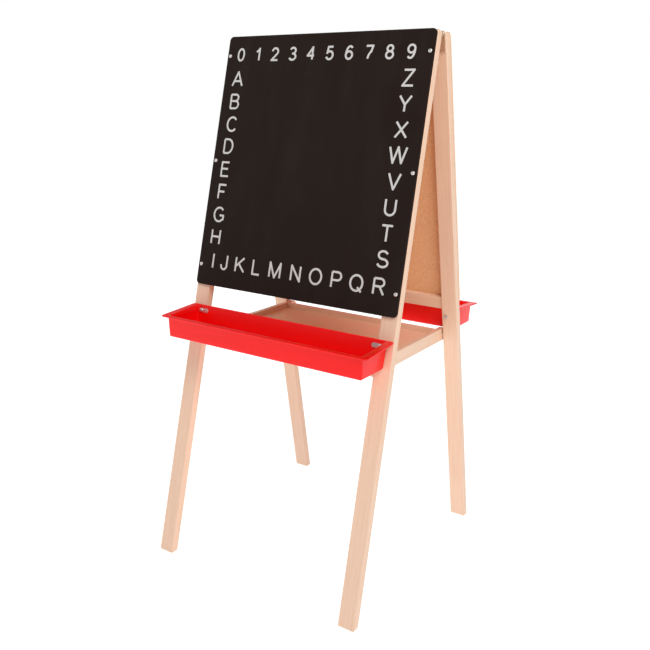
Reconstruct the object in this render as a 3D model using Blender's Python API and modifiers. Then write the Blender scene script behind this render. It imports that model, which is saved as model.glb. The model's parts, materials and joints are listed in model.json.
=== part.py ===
"""Kids easel: two leg frames hinged at the top, a board and a moulded tray on each, and a shelf between them.

Metres, +Z up, the floor at z = 0. X runs along the easel's width and the chalkboard side faces -Y.
"""

import bpy
import bmesh
from math import cos, pi, radians, sin

GAP = 0.0003

# The A-frame. Each frame's local axes: +Y is its outward normal, -Z runs down its legs from the top pivot.
LEAN = radians(12.46)
PIVOT_Z = 1.109
FACE_OFFSET = 0.0081
LEG_THICK = 0.0178
LEG_WIDTH = 0.0355
LEG_ROUND = 0.0022
LEG_INNER_X = 0.2138
OUTER_FACE = FACE_OFFSET + LEG_THICK

# The boards, screwed to the outer faces of the legs and flush with their tops.
BOARD_WIDTH = 0.497
BOARD_HEIGHTS = {"front": 0.547, "rear": 0.5746}
BOARD_THICK = 0.005
BOARD_CORNER = 0.009
BOARD_SCREW_X = 0.2405
BOARD_SCREW_DROPS = (0.043, 0.274, 0.503)
BOARD_SCREW_SHANK = 0.0018
BOARD_SCREW_LENGTH = 0.018

# The moulded trays, bolted through the legs: a level floor, and a rim that falls away from the easel.
TRAY_LENGTH = 0.4996
TRAY_DEPTH = 0.1038
TRAY_HEIGHT = 0.053
TRAY_WALL = 0.003
TRAY_END_LIP = 0.0136
TRAY_FRONT_LIP = 0.0064
TRAY_LIP_THICK = 0.0035
RIM_FALL = radians(4.0)
LIP_CORNER = 0.005
TRAY_CORNER = 0.004
TRAY_END_DRAFT = 0.0014
TRAY_FRONT_DRAFT = 0.0021
TRAY_DROPS = {"front": 0.591, "rear": 0.5865}
BOLT_X = 0.2235
BOLT_DROP = 0.6035
BOLT_SHANK = 0.0025
WASHER_X = 0.2170
WASHER_HALF = (0.0130, 0.0047)
WASHER_THICK = 0.0010
NUT_THICK = 0.004

# The bar between the rear legs, just below the rear board.
BAR_DROP = 0.5606
BAR_HEIGHT = 0.028
BAR_THICK = 0.0125
DOWEL_RADIUS = 0.003

# The shelf: a panel in grooved rails, hung on the rear legs and caught by ball catches in the front legs.
SHELF_PIVOT = (0.0085 + FACE_OFFSET, 0.6519)
RAIL_OUTER_X = 0.2113
RAIL_THICK = 0.012
RAIL_UP = 0.014
RAIL_CORNER = 0.008
LIP_THICK = 0.010
LIP_INSET = 0.017
PANEL_THICK = 0.004
PANEL_RISE = -0.002
GROOVE_DEPTH = 0.0045
SHELF_SCREW_SHANK = 0.003
CATCH_RADIUS = 0.0045
CATCH_REACH = 0.0022

# The two butt hinges at the tops of the legs.
HINGE_X = 0.2305
HINGE_LENGTH = 0.032
KNUCKLE_RADIUS = 0.0045
LEAF_THICK = 0.002
LEAF_DROP = 0.036
PIN_RADIUS = 0.0017
HINGE_SCREW_DROPS = (0.013, 0.027)
HINGE_SCREW_SHANK = 0.0015

SIDES = {"left": -1, "right": 1}
FRAMES = {"front": pi, "rear": 0.0}

for old in list(bpy.data.objects):
    bpy.data.objects.remove(old)

easel = bpy.data.collections.new("kids_easel")
cutters = bpy.data.collections.new("cutters")
cutters.hide_render = True
for collection in (easel, cutters):
    bpy.context.scene.collection.children.link(collection)


def material(name, colour, roughness, metallic=0.0):
    made = bpy.data.materials.new(name)
    made.use_nodes = True
    shader = made.node_tree.nodes["Principled BSDF"]
    shader.inputs["Base Color"].default_value = (*colour, 1.0)
    shader.inputs["Roughness"].default_value = roughness
    shader.inputs["Metallic"].default_value = metallic
    made.diffuse_color = (*colour, 1.0)
    return made


LOOKS = {
    "pine": ((0.80, 0.56, 0.38), 0.55),
    "chalkboard": ((0.02, 0.015, 0.013), 0.6),
    "whiteboard": ((0.88, 0.88, 0.86), 0.2),
    "red_plastic": ((0.78, 0.01, 0.01), 0.3),
    "hardboard": ((0.45, 0.24, 0.13), 0.6),
    "zinc": ((0.62, 0.62, 0.60), 0.35, 1.0),
    "brass": ((0.66, 0.48, 0.18), 0.35, 1.0),
    "beech": ((0.72, 0.50, 0.32), 0.6),
}


def node(name, mesh, look, parent, place=(0, 0, 0), turn=(0, 0, 0)):
    """A visible sub-part with a material of its own."""
    obj = bpy.data.objects.new(name, mesh)
    easel.objects.link(obj)
    obj.data.materials.append(material(name, *LOOKS[look]))
    obj.parent = parent
    obj.location = place
    obj.rotation_euler = turn
    return obj


def loft(name, rings, smooth=False):
    """A closed solid through rings of equal count, capped at both ends."""
    mesh = bpy.data.meshes.new(name)
    shape = bmesh.new()
    rows = [[shape.verts.new(point) for point in ring] for ring in rings]
    for low, high in zip(rows, rows[1:]):
        for i in range(len(low)):
            j = (i + 1) % len(low)
            shape.faces.new((low[i], low[j], high[j], high[i])).smooth = smooth
    shape.faces.new(rows[0])
    shape.faces.new(rows[-1])
    bmesh.ops.recalc_face_normals(shape, faces=shape.faces)
    shape.to_mesh(mesh)
    shape.free()
    return mesh


def block(name, low, high):
    """A box between two corners."""
    square = ((low[0], low[1]), (high[0], low[1]), (high[0], high[1]), (low[0], high[1]))
    return loft(name, [[(x, y, z) for x, y in square] for z in (low[2], high[2])])


def turned(name, profile, segments=16):
    """A round piece about +Z from (radius, height) pairs."""
    angles = [2 * pi * i / segments for i in range(segments)]
    rings = [[(r * cos(a), r * sin(a), z) for a in angles] for r, z in profile]
    return loft(name, rings, smooth=segments > 8)


def rounded(x_low, x_high, y_low, y_high, radius, steps=5):
    """A rectangle's outline with rounded corners."""
    corners = ((x_high, y_high, 0), (x_low, y_high, 90), (x_low, y_low, 180), (x_high, y_low, 270))
    outline = []
    for x, y, start in corners:
        centre_x = x - radius if x == x_high else x + radius
        centre_y = y - radius if y == y_high else y + radius
        for i in range(steps + 1):
            angle = radians(start + 90 * i / steps)
            outline.append((centre_x + radius * cos(angle), centre_y + radius * sin(angle)))
    return outline


def bevel(obj, width, segments=2):
    made = obj.modifiers.new("eased_edges", "BEVEL")
    made.width = width
    made.segments = segments
    made.limit_method = "ANGLE"
    made.angle_limit = radians(35)


def cut(obj, mesh, parent=None, place=(0, 0, 0), turn=(0, 0, 0), operation="DIFFERENCE"):
    """Takes a hidden cutter's shape out of the object, or adds it."""
    cutter = bpy.data.objects.new(mesh.name, mesh)
    cutters.objects.link(cutter)
    cutter.parent = parent
    cutter.location = place
    cutter.rotation_euler = turn
    cutter.display_type = "WIRE"
    cutter.hide_render = True
    made = obj.modifiers.new(mesh.name, "BOOLEAN")
    made.operation = operation
    made.solver = "EXACT"
    made.object = cutter


def join(obj, mesh, parent, place, turn):
    cut(obj, mesh, parent, place, turn, "UNION")


def drill(obj, parent, place, turn, radius, low, high, segments=16):
    """A round hole along the local Z of the given placement."""
    cut(obj, turned("hole", [(radius, low), (radius, high)], segments), parent, place, turn)


def empty(name, parent=None, place=(0, 0, 0), turn=(0, 0, 0)):
    obj = bpy.data.objects.new(name, None)
    easel.objects.link(obj)
    obj.parent = parent
    obj.location = place
    obj.rotation_euler = turn
    return obj


OUTWARD = (-pi / 2, 0, 0)
INWARD = (pi / 2, 0, 0)


def local_x(frame, x):
    """The front frame is the rear one turned half round, so its local X runs the other way."""
    return -x if frame == "front" else x


def foot_drop(depth):
    """How far down the leg the floor is, for a point at this depth along the frame's normal."""
    return (PIVOT_Z + depth * sin(LEAN)) / cos(LEAN)


def leg(frame, side, parent):
    x = local_x(frame, SIDES[side] * (LEG_INNER_X + LEG_WIDTH / 2))
    low, high = -LEG_WIDTH / 2, LEG_WIDTH / 2
    faces = (FACE_OFFSET, OUTER_FACE)
    square = ((low, faces[0]), (high, faces[0]), (high, faces[1]), (low, faces[1]))
    rings = [[(a, n, 0) for a, n in square], [(a, n, -foot_drop(n)) for a, n in square]]
    made = node(f"{frame}_leg_{side}", loft("leg", rings), "pine", parent, (x, 0, 0))
    bevel(made, LEG_ROUND)
    return made


def board(frame, look, parent):
    half = BOARD_WIDTH / 2
    outline = rounded(-half, half, -BOARD_HEIGHTS[frame], 0, BOARD_CORNER)
    rings = [[(x, n, z) for x, z in outline] for n in (0, BOARD_THICK)]
    place = (0, OUTER_FACE + GAP, 0)
    made = node(f"{frame}_{look}", loft("board", rings), look, parent, place)
    bevel(made, 0.0006)
    return made


def board_screws(frame, legs, panel, parent):
    """Round-head wood screws, three down each leg."""
    head = OUTER_FACE + BOARD_THICK + 2 * GAP
    shank = BOARD_SCREW_SHANK
    stretch = BOARD_HEIGHTS[frame] / BOARD_HEIGHTS["front"]
    profile = [(0.0006, -BOARD_SCREW_LENGTH), (shank, -BOARD_SCREW_LENGTH + 0.003), (shank, 0)]
    profile += [(0.0040, 0), (0.0040, 0.0007), (0.0031, 0.0018), (0.0012, 0.0023)]
    for side, sign in SIDES.items():
        for level, drop in zip(("top", "middle", "bottom"), BOARD_SCREW_DROPS):
            place = (local_x(frame, sign * BOARD_SCREW_X), head, -drop * stretch)
            name = f"{frame}_board_screw_{side}_{level}"
            node(name, turned(name, profile), "zinc", parent, place, OUTWARD)
            radius = shank + GAP
            drill(panel, parent, place, OUTWARD, radius, -BOARD_THICK - 0.001, 0.001)
            drill(legs[side], parent, place, OUTWARD, radius, -BOARD_SCREW_LENGTH - 0.0006, 0.001)


def tray(frame, parent):
    """A moulded tray: thin walls, a turned-out lip on three sides, the back wall flat on the leaning legs."""
    slant = sin(LEAN) / cos(LEAN)
    fall = sin(RIM_FALL) / cos(RIM_FALL)
    half = TRAY_LENGTH / 2
    skin = TRAY_WALL / cos(LEAN)
    wall = TRAY_WALL
    under = TRAY_LIP_THICK
    end, front = TRAY_END_LIP, TRAY_FRONT_LIP

    def ring(ends, back, fore, corner, drop, level=False):
        """An outline this far down, either level or following the fall of the rim."""
        outline = rounded(-half + ends, half - ends, drop * slant + back, TRAY_DEPTH - fore, corner)
        return [(x, y, -drop - (0 if level else y * fall)) for x, y in outline]

    def floor_ring(inset, back, corner, drop):
        ends = end + TRAY_END_DRAFT + inset
        return ring(ends, back, front + TRAY_FRONT_DRAFT + inset, corner, drop, level=True)

    deep = TRAY_HEIGHT
    rings = [
        floor_ring(0.002, 0.002, 0.003, deep),
        floor_ring(0, 0.0006, TRAY_CORNER, deep - 0.002),
        ring(end, 0.0006, front, TRAY_CORNER, under + 0.0008),
        ring(end - 0.0008, 0.0005, front - 0.0008, TRAY_CORNER, under),
        ring(0.0006, 0.0003, 0.0006, LIP_CORNER, under),
        ring(0, 0, 0, LIP_CORNER, under - 0.0006),
        ring(0, 0, 0, LIP_CORNER, 0.0010),
        ring(0.0008, 0.0008, 0.0008, LIP_CORNER, 0),
        ring(end + wall - 0.001, skin - 0.001, front + wall - 0.001, 0.003, 0),
        ring(end + wall, skin, front + wall, 0.0025, 0.001),
        floor_ring(wall, skin, 0.0025, deep - wall - 0.002),
        floor_ring(wall + 0.002, skin + 0.002, 0.0015, deep - wall),
    ]
    place = (0, OUTER_FACE + GAP, -TRAY_DROPS[frame])
    return node(f"{frame}_tray", loft("tray", rings), "red_plastic", parent, place, (-LEAN, 0, 0))


def tray_bolts(frame, legs, moulding, parent):
    """Bolts through the tray's back wall and the leg, each on an oblong washer, with a hex nut behind."""
    head = OUTER_FACE + TRAY_WALL + 2 * GAP
    reach = head - FACE_OFFSET + GAP + NUT_THICK + 0.001
    shank = BOLT_SHANK
    rim = WASHER_THICK
    profile = [(shank - 0.0005, -reach), (shank, -reach + 0.0005), (shank, rim / 2), (0.0046, rim / 2)]
    profile += [(0.0046, rim + 0.0008), (0.0040, rim + 0.0018), (0.0026, rim + 0.0025), (0.0010, rim + 0.0027)]
    wide, high = WASHER_HALF
    for side, sign in SIDES.items():
        x = local_x(frame, sign * BOLT_X)
        place = (x, head, -BOLT_DROP)
        name = f"{frame}_tray_bolt_{side}"
        middle = local_x(frame, sign * (WASHER_X - BOLT_X))
        outline = rounded(middle - wide, middle + wide, -high, high, high - 0.0003)
        plate = node(name, loft("washer", [[(a, b, z) for a, b in outline] for z in (0, rim)]), "zinc", parent, place)
        plate.rotation_euler = OUTWARD
        join(plate, turned("bolt", profile), parent, place, OUTWARD)
        for obj in (legs[side], moulding):
            drill(obj, parent, place, OUTWARD, shank + GAP, -reach - 0.001, 0.001)
        name = f"{frame}_tray_nut_{side}"
        rims = [(0.0040, 0), (0.0046, 0.0005), (0.0046, NUT_THICK - 0.0005), (0.0040, NUT_THICK)]
        place = (x, FACE_OFFSET - GAP, -BOLT_DROP)
        nut = node(name, turned(name, rims, 6), "zinc", parent, place, INWARD)
        drill(nut, parent, place, INWARD, shank + GAP, -0.001, NUT_THICK + 0.001)


def cross_bar(legs, parent):
    """The bar let in between the rear legs, dowelled into both."""
    half = LEG_INNER_X - GAP
    face = OUTER_FACE - BAR_THICK
    low = (-half, face, -BAR_DROP - BAR_HEIGHT)
    bar = node("rear_crossbar", block("bar", low, (half, face + BAR_THICK, -BAR_DROP)), "pine", parent)
    bevel(bar, 0.001)
    centre = (face + BAR_THICK / 2, -BAR_DROP - BAR_HEIGHT / 2)
    length = 0.030
    profile = [(DOWEL_RADIUS - 0.0006, -length / 2), (DOWEL_RADIUS, -length / 2 + 0.001)]
    profile += [(DOWEL_RADIUS, length / 2 - 0.001), (DOWEL_RADIUS - 0.0006, length / 2)]
    for side, sign in SIDES.items():
        place = (sign * LEG_INNER_X, *centre)
        turn = (0, pi / 2, 0)
        name = f"rear_crossbar_dowel_{side}"
        node(name, turned(name, profile), "beech", parent, place, turn)
        reach = length / 2 + 0.0005
        for obj in (legs[side], bar):
            drill(obj, parent, place, turn, DOWEL_RADIUS + GAP, -reach, reach)


def rail(side, sign, parent, span):
    """A side rail: round about its pivot at the rear, with eased corners at the front, grooved for the panel."""
    up = RAIL_UP
    corner = RAIL_CORNER
    front = -span - corner
    outline = [(up * cos(radians(a)), up * sin(radians(a))) for a in range(90, -91, -15)]
    for start, z in ((270, -up + corner), (180, up - corner)):
        for i in range(6):
            angle = radians(start - 18 * i)
            outline.append((front + corner + corner * cos(angle), z + corner * sin(angle)))
    xs = (sign * (RAIL_OUTER_X - RAIL_THICK), sign * RAIL_OUTER_X)
    rings = [[(x, y, z) for y, z in outline] for x in xs]
    made = node(f"shelf_rail_{side}", loft("rail", rings), "pine", parent)
    bevel(made, 0.0012)
    inner = RAIL_OUTER_X - RAIL_THICK
    xs = sorted((sign * (inner - 0.002), sign * (inner + GROOVE_DEPTH)))
    low = (xs[0], -span - 0.004, PANEL_RISE - GAP)
    cut(made, block("groove", low, (xs[1], -0.0145, PANEL_RISE + PANEL_THICK + GAP)), parent)
    return made


def shelf(pivots, front_legs, span):
    """Everything that swings on the two shelf screws."""
    inner = RAIL_OUTER_X - RAIL_THICK
    depth = PANEL_RISE + PANEL_THICK
    rails = {side: rail(side, sign, pivots, span) for side, sign in SIDES.items()}
    half = inner - GAP
    for where, y in (("rear", -LIP_INSET - LIP_THICK), ("front", -span - 0.002)):
        low = (-half, y, -RAIL_UP)
        lip = node(f"shelf_lip_{where}", block("lip", low, (half, y + LIP_THICK, RAIL_UP)), "pine", pivots)
        bevel(lip, 0.0012)
        inward = -0.002 if where == "rear" else LIP_THICK - GROOVE_DEPTH
        low = (-half - 0.01, y + inward, PANEL_RISE - GAP)
        high = (half + 0.01, y + inward + GROOVE_DEPTH + 0.002, depth + GAP)
        cut(lip, block("groove", low, high), pivots)
    rear = -LIP_INSET - LIP_THICK + GROOVE_DEPTH - 0.002 - GAP
    front = -span - 0.002 + LIP_THICK - GROOVE_DEPTH + GAP
    half = inner + GROOVE_DEPTH - GAP
    panel = block("panel", (-half, front, PANEL_RISE), (half, rear, depth))
    node("shelf_panel", panel, "hardboard", pivots)
    for side, sign in SIDES.items():
        turn = (0, sign * pi / 2, 0)
        strike = [(0.0054, -0.0016), (0.0056, -0.0014), (0.0056, -0.0003), (0.0054, 0)]
        place = (sign * RAIL_OUTER_X, -span, 0)
        name = f"shelf_strike_{side}"
        plate = node(name, turned(name, strike), "brass", pivots, place, turn)
        cut(plate, turned("dimple", [(0.0012, -0.0008), (0.0030, 0.0005)]), pivots, place, turn)
        drill(rails[side], pivots, place, turn, 0.0056 + GAP, -0.0016 - GAP, 0.001)
        catch = [(CATCH_RADIUS, -0.014), (CATCH_RADIUS, -GAP), (0.0026, -GAP), (0.0025, 0.0007)]
        catch += [(0.0019, 0.0015), (0.0009, CATCH_REACH)]
        base = front_legs["empty"]
        place = (local_x("front", sign * LEG_INNER_X), SHELF_PIVOT[0], -SHELF_PIVOT[1])
        turn = (0, local_x("front", -sign) * pi / 2, 0)
        name = f"front_ball_catch_{side}"
        node(name, turned(name, catch), "brass", base, place, turn)
        drill(front_legs[side], base, place, turn, CATCH_RADIUS + GAP, -0.0145, 0.001)
    return rails


def shelf_screws(rails, pivots, rear_legs, base):
    """Shoulder screws driven outward through the rails, with a spacer between each rail and leg."""
    inner = RAIL_OUTER_X - RAIL_THICK
    shank = SHELF_SCREW_SHANK
    gap = LEG_INNER_X - RAIL_OUTER_X
    for side, sign in SIDES.items():
        place = (sign * inner, *(0, 0))
        turn = (0, sign * pi / 2, 0)
        world = (sign * inner, SHELF_PIVOT[0], -SHELF_PIVOT[1])
        length = RAIL_THICK + gap + 0.024
        profile = [(0.0015, -0.0036), (0.0048, -0.0030), (0.0060, -0.0014), (0.0060, -GAP)]
        profile += [(shank, -GAP), (shank, length - 0.003), (0.0008, length)]
        name = f"shelf_pivot_screw_{side}"
        node(name, turned(name, profile), "zinc", base, world, turn)
        drill(rails[side], pivots, place, turn, shank + GAP, -0.001, RAIL_THICK + 0.001)
        drill(rear_legs[side], base, world, turn, shank + GAP, 0, length + 0.0005)
        name = f"shelf_spacer_{side}"
        ring = [(0.0064, RAIL_THICK + GAP), (0.0064, RAIL_THICK + gap - GAP)]
        spacer = node(name, turned(name, ring), "beech", base, world, turn)
        drill(spacer, base, world, turn, shank + GAP, RAIL_THICK, RAIL_THICK + gap)


def hinge_leaf(frame, side, parent):
    """A leaf screwed to the leg's inner face; the front one has the two outer knuckles, the rear one the middle."""
    face = FACE_OFFSET - GAP
    back = face - LEAF_THICK
    arc = [(KNUCKLE_RADIUS * cos(radians(a)), KNUCKLE_RADIUS * sin(radians(a))) for a in range(0, 271, 18)]
    outline = arc + [(back, -KNUCKLE_RADIUS), (back, -LEAF_DROP), (face, -LEAF_DROP), (face, 0)]
    half = HINGE_LENGTH / 2
    rings = [[(x, n, z) for n, z in outline] for x in (-half, half)]
    place = (local_x(frame, SIDES[side] * HINGE_X), 0, 0)
    made = node(f"hinge_{side}_{frame}_leaf", loft("leaf", rings), "zinc", parent, place)
    third = HINGE_LENGTH / 3
    spans = ((-third / 2, third / 2),) if frame == "front" else ((-half, -third / 2), (third / 2, half))
    for low, high in spans:
        low = low - (GAP / 2 if abs(low) < half else 0.001)
        high = high + (GAP / 2 if abs(high) < half else 0.001)
        room = KNUCKLE_RADIUS + 0.001
        cut(made, block("knuckle_room", (low, -room, -room), (high, back - 0.0001, room)), parent, place)
    turn = (0, pi / 2, 0)
    drill(made, parent, place, turn, PIN_RADIUS + GAP, -half - 0.001, half + 0.001)
    return made


def hinge(side, legs, bases):
    leaves = {frame: hinge_leaf(frame, side, bases[frame]) for frame in FRAMES}
    half = HINGE_LENGTH / 2 + 0.0004
    profile = [(0.0024, -half - 0.0012), (0.0028, -half - 0.0006), (0.0028, -half)]
    profile += [(PIN_RADIUS, -half), (PIN_RADIUS, half), (PIN_RADIUS - 0.0004, half + 0.0005)]
    place = (local_x("front", SIDES[side] * HINGE_X), 0, 0)
    node(f"hinge_{side}_pin", turned("pin", profile), "zinc", bases["front"], place, (0, pi / 2, 0))
    shank = HINGE_SCREW_SHANK
    profile = [(0.0005, -0.013), (shank, -0.0105), (shank, 0)]
    profile += [(0.0032, 0), (0.0032, 0.0005), (0.0025, 0.0012), (0.0010, 0.0016)]
    for frame, leaf in leaves.items():
        for level, drop in zip(("upper", "lower"), HINGE_SCREW_DROPS):
            head = FACE_OFFSET - 2 * GAP - LEAF_THICK
            place = (local_x(frame, SIDES[side] * HINGE_X), head, -drop)
            name = f"hinge_{side}_{frame}_screw_{level}"
            node(name, turned(name, profile, 12), "zinc", bases[frame], place, INWARD)
            drill(leaf, bases[frame], place, INWARD, shank + GAP, -LEAF_THICK - 0.001, 0.001, 12)
            drill(legs[frame][side], bases[frame], place, INWARD, shank + GAP, -0.0135, 0.001, 12)


bases = {frame: empty(f"{frame}_frame", None, (0, 0, PIVOT_Z), (LEAN, 0, turn)) for frame, turn in FRAMES.items()}
legs = {frame: {side: leg(frame, side, base) for side in SIDES} for frame, base in bases.items()}
for frame, look in (("front", "chalkboard"), ("rear", "whiteboard")):
    board_screws(frame, legs[frame], board(frame, look, bases[frame]), bases[frame])
    tray_bolts(frame, legs[frame], tray(frame, bases[frame]), bases[frame])
cross_bar(legs["rear"], bases["rear"])

shelf_base = empty("shelf", bases["rear"], (0, SHELF_PIVOT[0], -SHELF_PIVOT[1]), (-LEAN, 0, 0))
catch_span = 2 * (SHELF_PIVOT[0] * cos(LEAN) + SHELF_PIVOT[1] * sin(LEAN))
shelf_rails = shelf(shelf_base, {**legs["front"], "empty": bases["front"]}, catch_span)
shelf_screws(shelf_rails, shelf_base, legs["rear"], bases["rear"])
for side in SIDES:
    hinge(side, legs, bases)
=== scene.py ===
"""Looks for the kids easel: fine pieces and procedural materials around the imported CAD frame."""

import json
from math import cos, hypot, pi, radians, sin, tan

import bmesh
import bpy
from mathutils import Matrix, Vector


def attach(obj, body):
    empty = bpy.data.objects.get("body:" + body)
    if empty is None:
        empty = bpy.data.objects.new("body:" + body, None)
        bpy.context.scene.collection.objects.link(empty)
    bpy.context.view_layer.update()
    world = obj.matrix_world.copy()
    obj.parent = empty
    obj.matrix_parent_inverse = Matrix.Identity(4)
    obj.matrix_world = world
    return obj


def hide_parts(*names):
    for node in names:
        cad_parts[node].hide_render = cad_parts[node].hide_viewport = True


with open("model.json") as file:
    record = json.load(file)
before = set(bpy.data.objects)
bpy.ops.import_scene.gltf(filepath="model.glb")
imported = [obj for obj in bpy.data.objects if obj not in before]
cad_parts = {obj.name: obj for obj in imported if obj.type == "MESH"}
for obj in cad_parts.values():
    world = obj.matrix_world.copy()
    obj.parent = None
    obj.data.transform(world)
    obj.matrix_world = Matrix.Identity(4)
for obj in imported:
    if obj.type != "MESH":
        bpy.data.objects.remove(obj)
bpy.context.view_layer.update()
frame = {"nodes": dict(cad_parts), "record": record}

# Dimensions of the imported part, in metres.
GAP = 0.0003
LEAN = radians(12.46)
PIVOT_Z = 1.109
FACE_OFFSET = 0.0081
LEG_THICK = 0.0178
LEG_WIDTH = 0.0355
LEG_INNER_X = 0.2138
OUTER_FACE = FACE_OFFSET + LEG_THICK
BOARD_WIDTH = 0.497
BOARD_HEIGHTS = {"front": 0.547, "rear": 0.5746}
BOARD_THICK = 0.005
BOARD_CORNER = 0.009
BOARD_SCREW_X = 0.2405
BOARD_SCREW_DROPS = {"top": 0.043, "middle": 0.274, "bottom": 0.503}
TRAY_LENGTH = 0.4996
TRAY_DEPTH = 0.1038
TRAY_HEIGHT = 0.053
TRAY_WALL = 0.003
TRAY_END_LIP = 0.0136
TRAY_FRONT_LIP = 0.0064
TRAY_LIP_THICK = 0.0035
RIM_FALL = radians(4.0)
LIP_CORNER = 0.005
TRAY_CORNER = 0.004
TRAY_END_DRAFT = 0.0014
TRAY_FRONT_DRAFT = 0.0021
TRAY_DROPS = {"front": 0.591, "rear": 0.5865}
BOLT_X = 0.2235
BOLT_DROP = 0.6035
NUT_THICK = 0.004
WASHER_X = 0.2170
WASHER_HALF = (0.0130, 0.0047)
WASHER_THICK = 0.0010
BAR_DROP = 0.5606
BAR_HEIGHT = 0.028
BAR_THICK = 0.0125
SHELF_PIVOT = (0.0085 + FACE_OFFSET, 0.6519)
RAIL_OUTER_X = 0.2113
RAIL_THICK = 0.012
RAIL_UP = 0.014
RAIL_CORNER = 0.008
LIP_THICK = 0.010
LIP_INSET = 0.017
PANEL_THICK = 0.004
PANEL_RISE = -0.002
GROOVE_DEPTH = 0.0045
HINGE_X = 0.2305
HINGE_LENGTH = 0.032
KNUCKLE_RADIUS = 0.0045
LEAF_THICK = 0.002
LEAF_DROP = 0.036
PIN_RADIUS = 0.0017
HINGE_SCREW_DROPS = {"upper": 0.013, "lower": 0.027}
SIDES = {"left": -1, "right": 1}

# Details that only the finer pieces have.
LEG_EASE = 0.0022
BOARD_EASE = 0.0007
BAR_EASE = 0.0012
SHELF_EASE = 0.0014
STEEL_EASE = 0.0003
TRAY_FILLET = 0.0035
TRAY_BACK_EASE = 0.0006
TRAY_NECK = 0.0016
INNER_CORNER = 0.0030
INNER_RIM = 0.0018
SHARPEST_CORNER = 0.0006
LIP_ROLL = 0.0016
PANEL_CLEARANCE = 0.002
FRONT_LIP_REACH = 0.002
BOLT_RADIUS = 0.0025
BOLT_TIP_RADIUS = 0.0017
BOLT_HEAD_RADIUS = 0.0046
BOLT_HEAD_HEIGHT = 0.0026
BOLT_THREAD = 0.008
BOLT_RECESS = 0.0025
NUT_RADIUS = 0.0045
WASHER_EASE = 0.00035
THREAD_PITCH = 0.0008
THREAD_DEPTH = 0.0003
RECESS_DEPTH = 0.0011
SCREW_RECESS = 0.0016
PIN_HEAD_RADIUS = 0.0028
OVERSHOOT = 0.001

TOP = Matrix.Translation((0, 0, PIVOT_Z))
PLACES = {
    "front": TOP @ Matrix.Rotation(pi, 4, "Z") @ Matrix.Rotation(LEAN, 4, "X"),
    "rear": TOP @ Matrix.Rotation(LEAN, 4, "X"),
}
SHELF_PLACE = Matrix.Translation(PLACES["rear"] @ Vector((0, SHELF_PIVOT[0], -SHELF_PIVOT[1])))
SHELF_SPAN = 2 * SHELF_PLACE.translation.y
OUTWARD = Matrix.Rotation(-pi / 2, 4, "X")
INWARD = Matrix.Rotation(pi / 2, 4, "X")


# ---------------------------------------------------------------- materials


class Look:
    """A material's node tree, written as short calls."""

    def __init__(self, name):
        self.material = bpy.data.materials.new(name)
        self.material.use_nodes = True
        self.tree = self.material.node_tree
        self.shader = self.tree.nodes["Principled BSDF"]
        self.place = self.add("ShaderNodeTexCoord").outputs["Object"]

    def add(self, kind, **settings):
        made = self.tree.nodes.new(kind)
        for key, value in settings.items():
            setattr(made, key, value)
        return made

    def put(self, value, socket):
        if isinstance(value, bpy.types.NodeSocket):
            self.tree.links.new(value, socket)
        elif socket.type == "RGBA":
            socket.default_value = (*value, 1.0)
        else:
            socket.default_value = value

    def set(self, **values):
        for key, value in values.items():
            self.put(value, self.shader.inputs[key.replace("_", " ")])
        return self.material

    def moved(self, scale, shift=(0, 0, 0), turn=(0, 0, 0)):
        """The piece's own coordinates, scaled, shifted and turned."""
        made = self.add("ShaderNodeMapping")
        self.put(self.place, made.inputs["Vector"])
        made.inputs["Scale"].default_value = scale
        made.inputs["Location"].default_value = shift
        made.inputs["Rotation"].default_value = turn
        return made.outputs["Vector"]

    def noise(self, where, scale, detail=3.0, rough=0.55, distortion=0.0):
        made = self.add("ShaderNodeTexNoise")
        for key, value in (("Vector", where), ("Scale", scale), ("Detail", detail), ("Roughness", rough)):
            self.put(value, made.inputs[key])
        made.inputs["Distortion"].default_value = distortion
        return made.outputs["Fac"]

    def ramp(self, value, *stops):
        """A value mapped through (position, level or colour) stops."""
        made = self.add("ShaderNodeValToRGB")
        self.put(value, made.inputs["Fac"])
        points = made.color_ramp.elements
        while len(points) < len(stops):
            points.new(0.5)
        for point, (at, level) in zip(points, stops):
            point.position = at
            point.color = (*level, 1.0) if isinstance(level, tuple) else (level, level, level, 1.0)
        return made.outputs["Color"]

    def maths(self, operation, first, second=0.0):
        made = self.add("ShaderNodeMath", operation=operation)
        self.put(first, made.inputs[0])
        self.put(second, made.inputs[1])
        return made.outputs["Value"]

    def times(self, first, second):
        return self.maths("MULTIPLY", first, second)

    def plus(self, first, second):
        return self.maths("ADD", first, second)

    def mix(self, amount, first, second):
        made = self.add("ShaderNodeMix", data_type="RGBA")
        self.put(amount, made.inputs[0])
        self.put(first, made.inputs[6])
        self.put(second, made.inputs[7])
        return made.outputs[2]

    def axis(self, which, source=None):
        made = self.add("ShaderNodeSeparateXYZ")
        self.put(source or self.place, made.inputs[0])
        return made.outputs[which]

    def back(self, full, none):
        """One behind the first depth, none past the second, in centimetres to keep the ramp's steps fine."""
        return self.ramp(self.times(self.axis(1), 100.0), (full, 1.0), (none, 0.0))

    def bump(self, height, strength, distance):
        made = self.add("ShaderNodeBump")
        made.inputs["Strength"].default_value = strength
        made.inputs["Distance"].default_value = distance
        self.put(height, made.inputs["Height"])
        self.put(made.outputs["Normal"], self.shader.inputs["Normal"])

    def relief(self, *stops):
        """Stops over how far a point stands out: a half is flat, less a crease, more an outer edge."""
        return self.ramp(self.add("ShaderNodeNewGeometry").outputs["Pointiness"], *stops)

    def edges(self, low=0.52, high=0.60):
        return self.relief((low, 0.0), (high, 1.0))


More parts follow.
